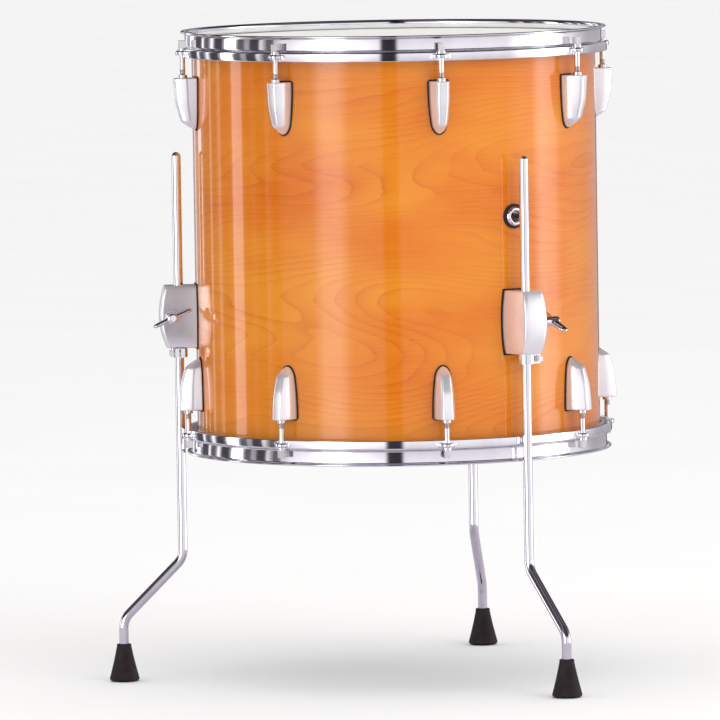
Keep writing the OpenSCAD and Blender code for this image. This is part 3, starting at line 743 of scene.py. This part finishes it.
def hoop_profile():
    """Outline of the rolled hoop sheet: skirt, flange, wall and lip, as (radius, height)."""
    wall_out, half = WALL_IN + HOOP_T, HOOP_T / 2
    fold, nook, roll = 2.4 * MM, 1.8 * MM, 3 * MM
    wall_ease, skirt_ease = 0.4 * MM, 0.6 * MM
    under, inner = HOOP_TOP - HOOP_T, FLANGE_Z - HOOP_T
    points = arc(SKIRT_R - half, HOOP_BOTTOM + half, half, -2, 0)
    points += arc(SKIRT_R - fold, FLANGE_Z - fold, fold, 0, 1)
    points += arc(wall_out + nook, FLANGE_Z + nook, nook, -1, -2)
    points += arc(wall_out + nook, under - nook, nook, 2, 1)
    points += arc(wall_out + LIP_OUT - half, HOOP_TOP - half, half, -1, 1)
    points += arc(WALL_IN + roll, HOOP_TOP - roll, roll, 1, 2)
    points += [(WALL_IN, inner + wall_ease), (WALL_IN + wall_ease, inner)]
    points += [(SKIRT_R - HOOP_T - skirt_ease, inner), (SKIRT_R - HOOP_T, inner - skirt_ease)]
    return points


def ear_plan(inset, root):
    """Outline of an ear from above, from a root of the given half width to a round end."""
    start, end_r, steps = SKIRT_R - 1.2 * MM, EAR_REACH - inset, 9
    corners = [Vector(p) for p in ((start, root), (start + 3 * MM, end_r), (ROD_R - MM, end_r))]
    side = [tuple(bend(*corners, k / steps)) for k in range(steps)]
    tip = [(ROD_R + end_r * math.sin(a), end_r * math.cos(a)) for a in (math.pi * k / 18 for k in range(19))]
    return side + tip + [(x, -y) for x, y in side[::-1]]


def ear_mesh():
    """Pressed ear: a flat tab with a folded rim, hollow below, drilled for the rod."""
    low, fold, ease, wall = EAR_Z - EAR_H, 1.6 * MM, 0.3 * MM, 1.7 * MM
    root, rim_root, ease_root, hollow_root = 10.6 * MM, 12.4 * MM, 12.5 * MM, 8.5 * MM
    levels = [(low, ease, ease_root), (low + ease, 0.0, rim_root), (EAR_Z - fold, 0.0, root)]
    for k in range(1, 6):
        a = QUARTER * k / 5
        inset = fold * (1 - math.cos(a))
        levels.append((EAR_Z - fold + fold * math.sin(a), inset, root - inset))
    ear = new_object("ear", *skin([[(x, y, z) for x, y in ear_plan(d, w)] for z, d, w in levels]))
    plan = ear_plan(wall, hollow_root)
    hollow = new_object("hollow", *skin([[(x, y, z) for x, y in plan] for z in (low - MM, EAR_Z - HOOP_T)]))
    rod_hole = cylinder("rod_hole", 3.1 * MM, low - MM, EAR_Z + MM, ROD_R, 32)
    return take_mesh(shade(cut(shade(ear, 50), [hollow, rod_hole]), 50))


def hoop_object(name):
    """The rolled ring with its eight ears, as one mesh."""
    ear = ear_mesh()
    points = [v.co for v in ear.vertices]
    faces = [tuple(p.vertices) for p in ear.polygons]
    ears = [(moved(station(turn), points), faces) for turn in ROD_TURNS]
    return shade(new_object(name, *joined([revolve(hoop_profile(), 256)] + ears)), 50)


def build_hoops():
    """The upper hoop, and the lower one as its mirror image about the shell's middle."""
    upper = hoop_object("batter_rolled_hoop")
    lower = place_object("resonant_rolled_hoop", upper.data.copy())
    lower.data.transform(Matrix.Translation((0, 0, 2 * MID_Z)) @ Matrix.Diagonal((1, 1, -1, 1)))
    shade(lower, 50)
    for obj, node in ((upper, "batter_hoop"), (lower, "resonant_hoop")):
        stand_in(obj, "chrome", node, node)


# ---- Shell and vent ----

def shell_profile():
    """Closed outline of the shell wall with its two bearing edges."""
    edge, rows = 2 * MM, 24
    low, high = SHELL_BOTTOM + edge, SHELL_TOP - edge
    top = [(SHELL_R - WALL, SHELL_TOP - WALL + edge)] + arc(SHELL_R - edge, high, edge, 1, 0, 6)
    side = [(SHELL_R, high + (low - high) * k / rows) for k in range(1, rows)]
    return top + side + [(r, 2 * MID_Z - z) for r, z in top[::-1]]


def build_shell():
    """The maple shell, with its vent hole."""
    obj = shade(new_object("shell_wall", *revolve(shell_profile(), 256)), 30)
    hole = cylinder("vent_hole", 6.4 * MM, SHELL_R - 20 * MM, SHELL_R + 20 * MM)
    hole.matrix_world = Matrix.Translation((0, 0, VENT_Z)) @ Matrix.Rotation(QUARTER, 4, "X")
    shade(cut(obj, [hole]), 30)
    stand_in(obj, "lacquered_maple", "root", "shell")


def vent_profile():
    """Outline of the grommet: tube, rolled mouth and domed flange, as (radius, outward place)."""
    face = -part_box("vent_washer")[0].y
    back, rim, crest = SHELL_R - WALL - MM, face + 0.02 * MM, face + 2.6 * MM
    bore, tube, outer = 5.25 * MM, 6.35 * MM, 9.75 * MM
    mouth, mouth_start = 1.6 * MM, face + 0.3 * MM
    dome, dome_end = 2.4 * MM, face + 0.2 * MM
    angles = [QUARTER * k / 6 for k in range(1, 7)]
    points = [(bore, back), (bore, mouth_start)]
    points += [(bore + mouth * (1 - math.cos(a)), mouth_start + (crest - mouth_start) * math.sin(a))
               for a in angles]
    points += [(outer - dome * (1 - math.sin(a)), dome_end + (crest - dome_end) * math.cos(a))
               for a in angles]
    return points + [(outer, rim), (tube, rim), (tube, back)]


def build_vent():
    """The chromed grommet."""
    obj = new_object("vent_eyelet", *revolve(vent_profile(), 64, "X"), station(0.0, VENT_Z))
    stand_in(shade(clean(obj), 45), "chrome", "root", "vent_grommet")


# ---- Rubber feet ----

def foot_profile():
    """Outline of a foot, (radius, height): a worn sole, a flare, a collar and the leg's socket."""
    height, socket_r, socket = FOOT_TOP - FLOOR_Z, LEG_D / 2 + 0.1 * MM, 26 * MM
    top_r, sole_r, collar, sole, steps = 7.7 * MM, 15 * MM, 4.2 * MM, 3.2 * MM, 14
    points = [(0, 0), (9 * MM, 0), (12.4 * MM, 0.45 * MM), (14.0 * MM, 1.1 * MM), (14.8 * MM, 2.0 * MM)]
    for k in range(steps + 1):
        u = k / steps
        flare = 0.8 * u + 0.2 * math.sin(QUARTER * u)
        points.append((sole_r - (sole_r - top_r) * flare, sole + (height - collar - sole) * u))
    neck_r = top_r - 0.25 * MM
    points += [(neck_r, height - collar + 0.5 * MM), (neck_r, height - 1.2 * MM)]
    points += [(top_r - 0.6 * MM, height - 0.4 * MM), (top_r - 1.3 * MM, height)]
    return points + [(socket_r, height), (socket_r, height - socket), (0, height - socket)]


def build_feet():
    """A rubber foot at the end of each leg."""
    mesh = take_mesh(shade(clean(new_object("foot", *revolve(foot_profile(), 72))), 38))
    for leg in LEGS:
        low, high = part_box(f"{leg}_foot")
        place = Matrix.Translation(((low.x + high.x) / 2, (low.y + high.y) / 2, FLOOR_Z))
        foot = place_object(f"{leg}_rubber_tip", mesh, place)
        stand_in(foot, "black_rubber", f"{leg}_leg", f"{leg}_foot")


# ---- Finishes of the CAD nodes that stay ----

def finish_cad_nodes():
    """Paints each node for its slot; legs, other chrome and tension rods have finishes of their own."""
    for name, obj in NODES.items():
        finish = SLOTS[name]
        if finish == "chrome":
            finish = "chrome_rod" if name.endswith("_leg") else "chrome_edged"
        if "tension_rod" in name:
            finish = "rod_" + name.split("_")[0]
        paint(obj, finish)


# ---- Floor, light and camera ----

CAMERA_TURN = math.radians(-35)
CAMERA_DISTANCE = 9.055
CAMERA_HEIGHT = 0.3615
CAMERA_PITCH = math.radians(4.3425)
CAMERA_YAW = math.radians(0.243)
CAMERA_ROLL = math.radians(0.917)
CAMERA_LENS = 449.8

# Dark flags and bright strips round the room: turn from the camera and half width in degrees,
# edge softness from 0 to 1, and what the light there is multiplied by
ROOM = (
    (-2.5, 4.5, 0.3, 0.03), (-128, 60, 0.12, 0.42), (-72, 2.5, 0.3, 0.3), (-83, 3.5, 0.3, 0.15),
    (-93, 2.5, 0.3, 0.3), (-113, 4, 0.3, 0.15), (-126, 2.5, 0.3, 0.3), (-137, 4.5, 0.3, 0.2),
    (-176, 3, 0.3, 0.3), (150, 26, 0.6, 0.5), (171, 4, 0.3, 0.3),
    (-37, 8, 0.6, 3.2), (-33, 20, 0.7, 1.5), (-102, 4.5, 0.2, 9.0), (-149, 3, 0.3, 6.0),
    (-163, 2, 0.3, 3.0), (-120, 1.5, 0.3, 3.0), (-78, 1.5, 0.3, 2.0), (-131, 1.2, 0.3, 3.0),
    (84, 13, 0.6, 1.7), (97, 9, 0.5, 3.0),
)


def room_band(s, azimuth, centre, half, soft, gain):
    """What the room's light is multiplied by for one row of ROOM, over the azimuth."""
    away = s.math("WRAP", s.math("SUBTRACT", azimuth, CAMERA_TURN + math.radians(centre)), math.pi)
    s.put(away.node, "i2", -math.pi)
    return s.add("MapRange", {"interpolation_type": "SMOOTHSTEP"}, Value=s.math("ABSOLUTE", away),
                 From_Min=math.radians(half * (1 - soft)), From_Max=math.radians(half * (1 + soft)),
                 To_Min=gain, To_Max=1.0).outputs[0]


def room_light(s):
    """Light of the room that the chrome reflects: its bands, a dark ceiling and a dimmer ground."""
    direction = s.add("SeparateXYZ", Vector=s.add("TexCoord").outputs["Generated"]).outputs
    azimuth = s.math("ARCTAN2", direction["X"], s.math("MULTIPLY", direction["Y"], -1.0))
    light = 1.0
    for row in ROOM:
        light = s.math("MULTIPLY", room_band(s, azimuth, *row), light)
    ceiling = s.add("MapRange", {"interpolation_type": "SMOOTHSTEP"}, Value=direction["Z"],
                    From_Min=0.2, From_Max=0.42, To_Min=1.0, To_Max=0.05).outputs[0]
    ground = s.add("MapRange", Value=direction["Z"], From_Min=-0.35, From_Max=0.0,
                   To_Min=0.6, To_Max=1.0).outputs[0]
    return s.math("MULTIPLY", s.math("MULTIPLY", light, ceiling), ground)


def studio_world():
    """A pale room; only reflections see its flags and strips, which give the chrome its contrast."""
    world = bpy.data.worlds.new("studio")
    bpy.context.scene.world = world
    s = Shader(world, "OutputWorld")
    light = room_light(s)
    white = s.add("CombineXYZ", X=light, Y=light, Z=light).outputs[0]
    tinted = s.add("VectorMath", {"operation": "MULTIPLY_ADD"}, i0=(0.955, 0.94, 0.98), i1=white,
                   i2=(0.01, 0.005, 0.014))
    seen = s.mix(s.add("LightPath").outputs["Is Glossy Ray"], grey(0.95), tinted.outputs[0])
    s.surface(s.add("Background", Color=seen, Strength=1.0).outputs[0])


def area_light(name, turn, distance, height, size, power, colour):
    """A softbox at a turn from the camera, aimed at the drum; reflections don't show it."""
    light = bpy.data.lights.new(name, "AREA")
    light.size = size
    light.energy = power
    light.color = colour
    turn = CAMERA_TURN + math.radians(turn)
    place = Vector((distance * math.sin(turn), -distance * math.cos(turn), height))
    aim = (Vector((0, 0, MID_Z)) - place).to_track_quat("-Z", "Y")
    obj = place_object(name, light)
    obj.location = place
    obj.rotation_euler = aim.to_euler()
    obj.visible_camera = False
    obj.visible_glossy = False


def build_lights():
    """A warm key light from the right and a soft top light."""
    area_light("key", 42, 3.2, 1.5, 1.8, 26, (1.0, 0.98, 0.95))
    area_light("top", 0, 0.7, 3.4, 1.6, 10, (1.0, 0.99, 0.98))


def build_floor():
    """Endless pale floor; reflections see it dimmer and only near the drum."""
    s = material_shader("pale_floor")
    grain = s.noise(3.0, detail=3.0)
    tone = s.mix(s.ramp(grain, (0.3, 0.0), (0.7, 1.0)), rgb(251, 251, 251), rgb(253, 253, 253))
    mirrored = s.add("LightPath").outputs["Is Glossy Ray"]
    far = s.ramp(s.math("MULTIPLY", s.reach(), 0.5), (0.4, 0.0), (0.6, 1.0))
    colour = s.mix(mirrored, tone, rgb(196, 190, 204))
    ground = s.add("BsdfPrincipled", Base_Color=colour, Roughness=0.9, Specular_IOR_Level=0.1)
    gone = s.add("BsdfTransparent")
    hidden = s.math("MULTIPLY", mirrored, far)
    s.surface(s.add("MixShader", Fac=hidden, i1=ground.outputs[0], i2=gone.outputs[0]).outputs[0])
    size = 60.0
    corners = [(x * size, y * size, FLOOR_Z) for x, y in ((-1, -1), (1, -1), (1, 1), (-1, 1))]
    floor = new_object("floor", corners, [(0, 1, 2, 3)])
    floor.data.materials.append(s.owner)


def build_camera():
    """A long lens, a little above the drum and looking slightly down at it."""
    data = bpy.data.cameras.new("camera")
    data.lens = CAMERA_LENS
    data.sensor_width = 36
    data.clip_start, data.clip_end = 0.1, 200
    place = station(CAMERA_TURN) @ Matrix.Translation((CAMERA_DISTANCE, 0, CAMERA_HEIGHT))
    aim = Matrix.Rotation(CAMERA_YAW, 4, "Z") @ Matrix.Rotation(-CAMERA_PITCH, 4, "Y")
    upright = Matrix.Rotation(QUARTER, 4, "Z") @ Matrix.Rotation(QUARTER, 4, "X")
    roll = Matrix.Rotation(-CAMERA_ROLL, 4, "Z")
    bpy.context.scene.camera = place_object("camera", data, place @ aim @ upright @ roll)


finish_cad_nodes()
build_shell()
build_vent()
build_lugs()
build_brackets()
build_wing_bolts()
build_hoops()
build_feet()
studio_world()
build_lights()
build_floor()
build_camera()
bpy.context.scene.view_settings.view_transform = "Standard"
